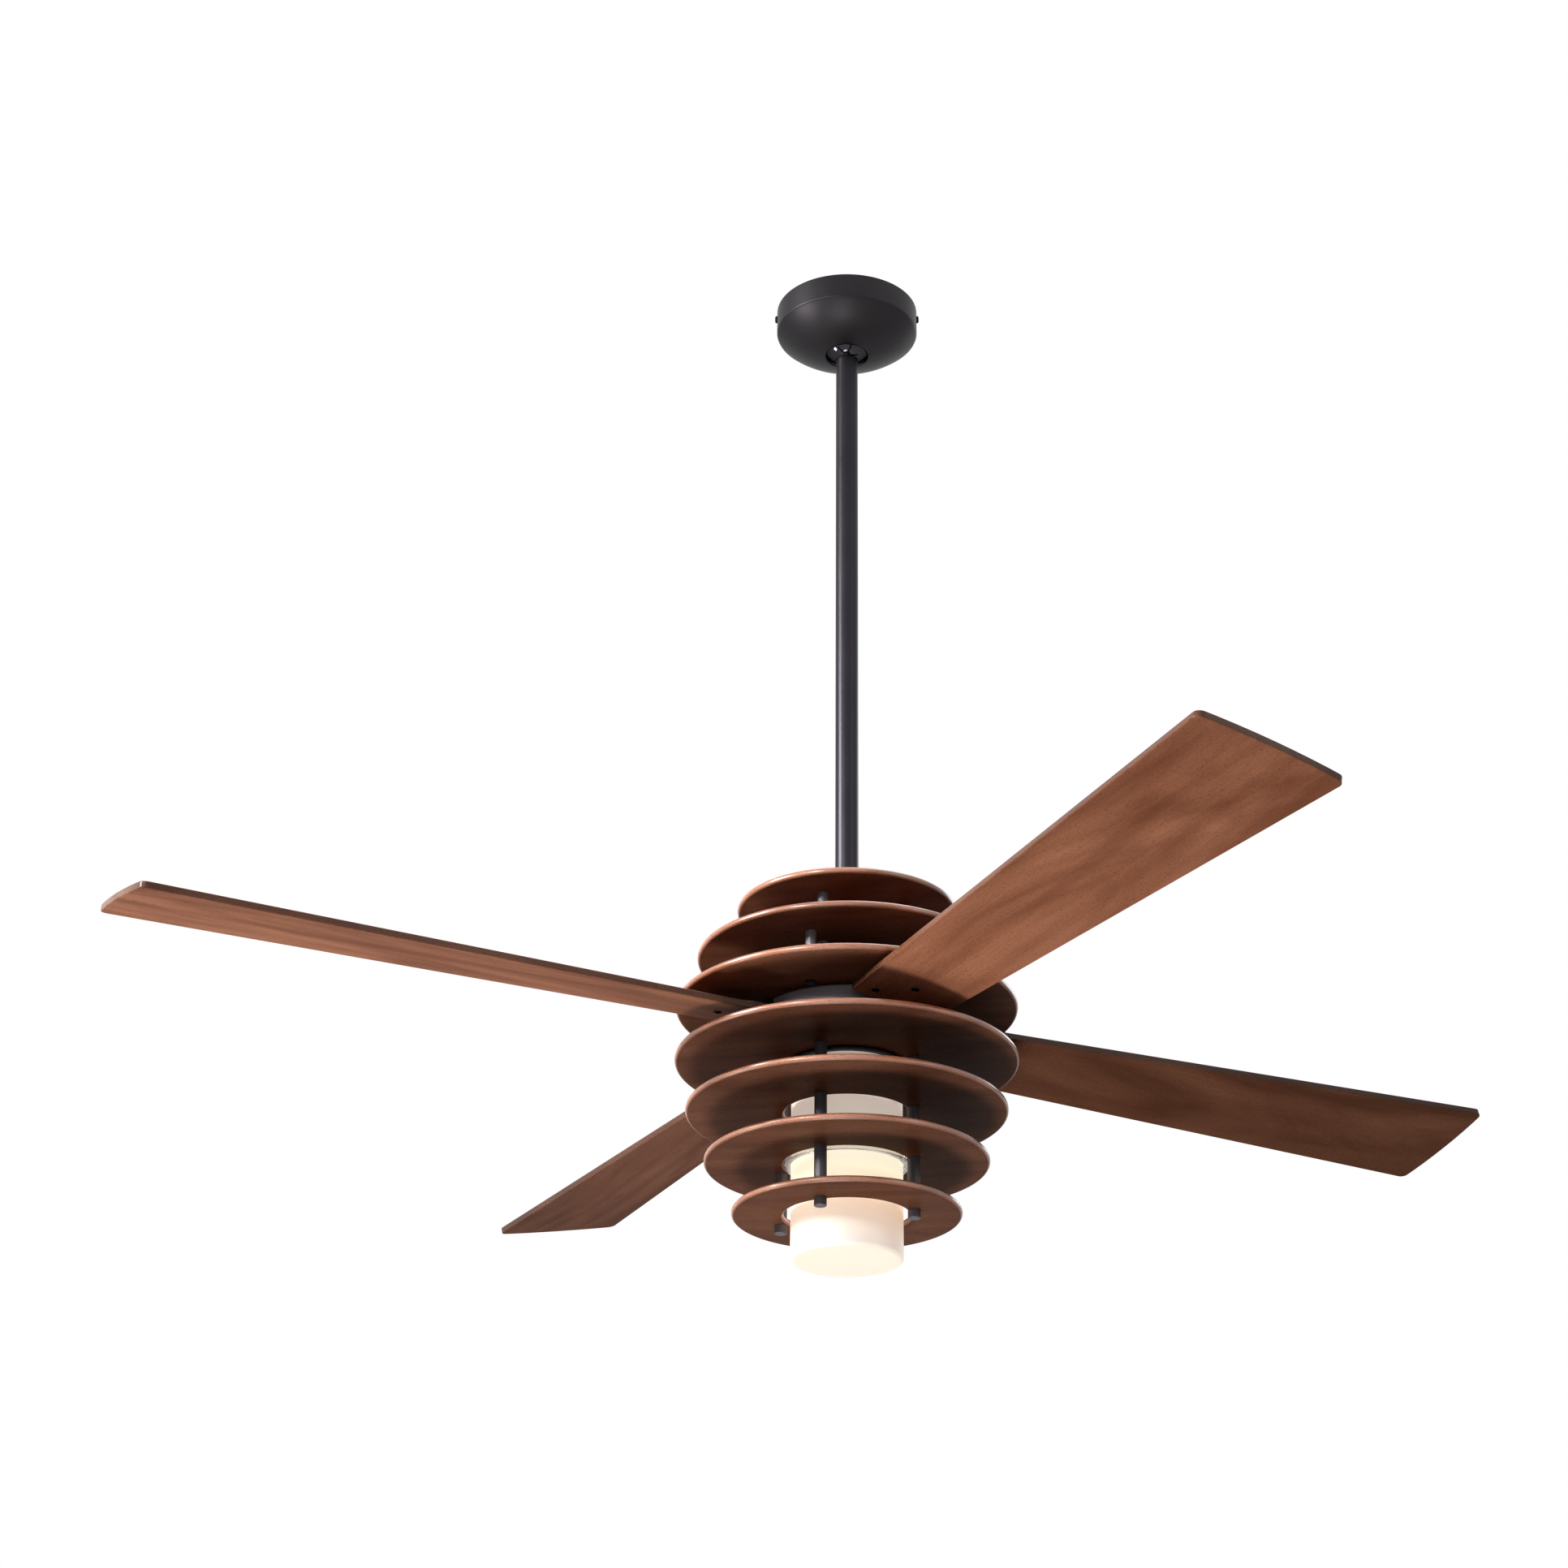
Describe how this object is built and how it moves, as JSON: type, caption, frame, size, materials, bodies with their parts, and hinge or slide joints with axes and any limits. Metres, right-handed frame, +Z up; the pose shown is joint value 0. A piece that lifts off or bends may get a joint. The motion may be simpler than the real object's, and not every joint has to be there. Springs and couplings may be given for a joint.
{
  "type": "ceiling fan",
  "caption": "Ceiling fan on a downrod: pitched walnut blades turn between stacks of round wood discs on spacers, with an opal drum light below.",
  "frame": {"origin": "on the ceiling, on the axis of the fan, midway between the two outlet box slots", "axes": "+Z up along the downrod; +X along the line of the outlet box slots"},
  "size_m": [1.2186, 1.2186, 0.9705],
  "materials": {
    "bronze": "satin dark bronze powder coat",
    "black_screw": "black oxide",
    "ball_black": "gloss black",
    "liner_plastic": "matte",
    "steel": "zinc plated",
    "lamination": "oiled",
    "copper": "enamelled",
    "disc_wood": "satin walnut stain",
    "blade_wood": "satin walnut stain",
    "white_cup": "satin white",
    "clear_collar": "frosted",
    "opal_glass": "opal satin",
    "porcelain": "glazed",
    "lamp_glass": "frosted",
    "capacitor_case": "moulded"
  },
  "bodies": {
    "ceiling_mount": {"hanger_bracket": "bronze", "canopy": "bronze", "canopy_screws": "bronze"},
    "swivel": {"ball_liner": "liner_plastic"},
    "fan": {"downrod": "bronze", "coupler": "bronze", "upper_carrier": "bronze", "upper_inner_spacers": "bronze", "upper_outer_spacers": "bronze", "upper_cap_nuts": "bronze", "upper_outer_ties": "bronze", "lower_carrier": "bronze", "lower_spacers": "bronze", "lower_cap_nuts": "bronze", "light_plate": "bronze", "hanger_ball": "ball_black", "hanger_pin": "steel", "coupler_pin": "steel", "coupler_set_screws": "steel", "snap_ring": "steel", "upper_inner_ties": "steel", "motor_shaft": "steel", "bearing_inner_rings": "steel", "bearing_balls": "steel", "lower_ties": "steel", "shaft_nut": "steel", "glass_set_screws": "steel", "lamp_bridge": "steel", "stator_core": "lamination", "stator_windings": "copper", "upper_disc_1": "disc_wood", "upper_disc_2": "disc_wood", "upper_disc_3": "disc_wood", "lower_disc_1": "disc_wood", "lower_disc_2": "disc_wood", "lower_disc_3": "disc_wood", "lower_disc_4": "disc_wood", "lamp_cup": "white_cup", "glass_collar": "clear_collar", "glass_shade": "opal_glass", "lamp_socket": "porcelain", "lamp": "lamp_glass", "run_capacitor": "capacitor_case"},
    "rotor": {"bearing_outer_rings": "steel", "rotor_top_shell": "bronze", "rotor_bottom_shell": "bronze", "rotor_core": "lamination", "shell_screws": "steel", "blade_screws": "black_screw", "iron_screws": "black_screw", "blade_1": "blade_wood", "blade_2": "blade_wood", "blade_3": "blade_wood", "blade_4": "blade_wood", "blade_iron_1": "bronze", "blade_iron_2": "bronze", "blade_iron_3": "bronze", "blade_iron_4": "bronze"}
  },
  "joints": [
    {"name": "swivel_x", "type": "hinge", "parent": "ceiling_mount", "child": "swivel", "pos_m": [0, 0, -0.031], "axis": [1, 0, 0], "range_deg": [-15, 15]},
    {"name": "swivel_y", "type": "hinge", "parent": "swivel", "child": "fan", "pos_m": [0, 0, -0.031], "axis": [0, 1, 0], "range_deg": [-15, 15]},
    {"name": "rotor_spin", "type": "hinge", "parent": "fan", "child": "rotor", "pos_m": [0, 0, -0.76], "axis": [0, 0, 1], "continuous": true}
  ]
}
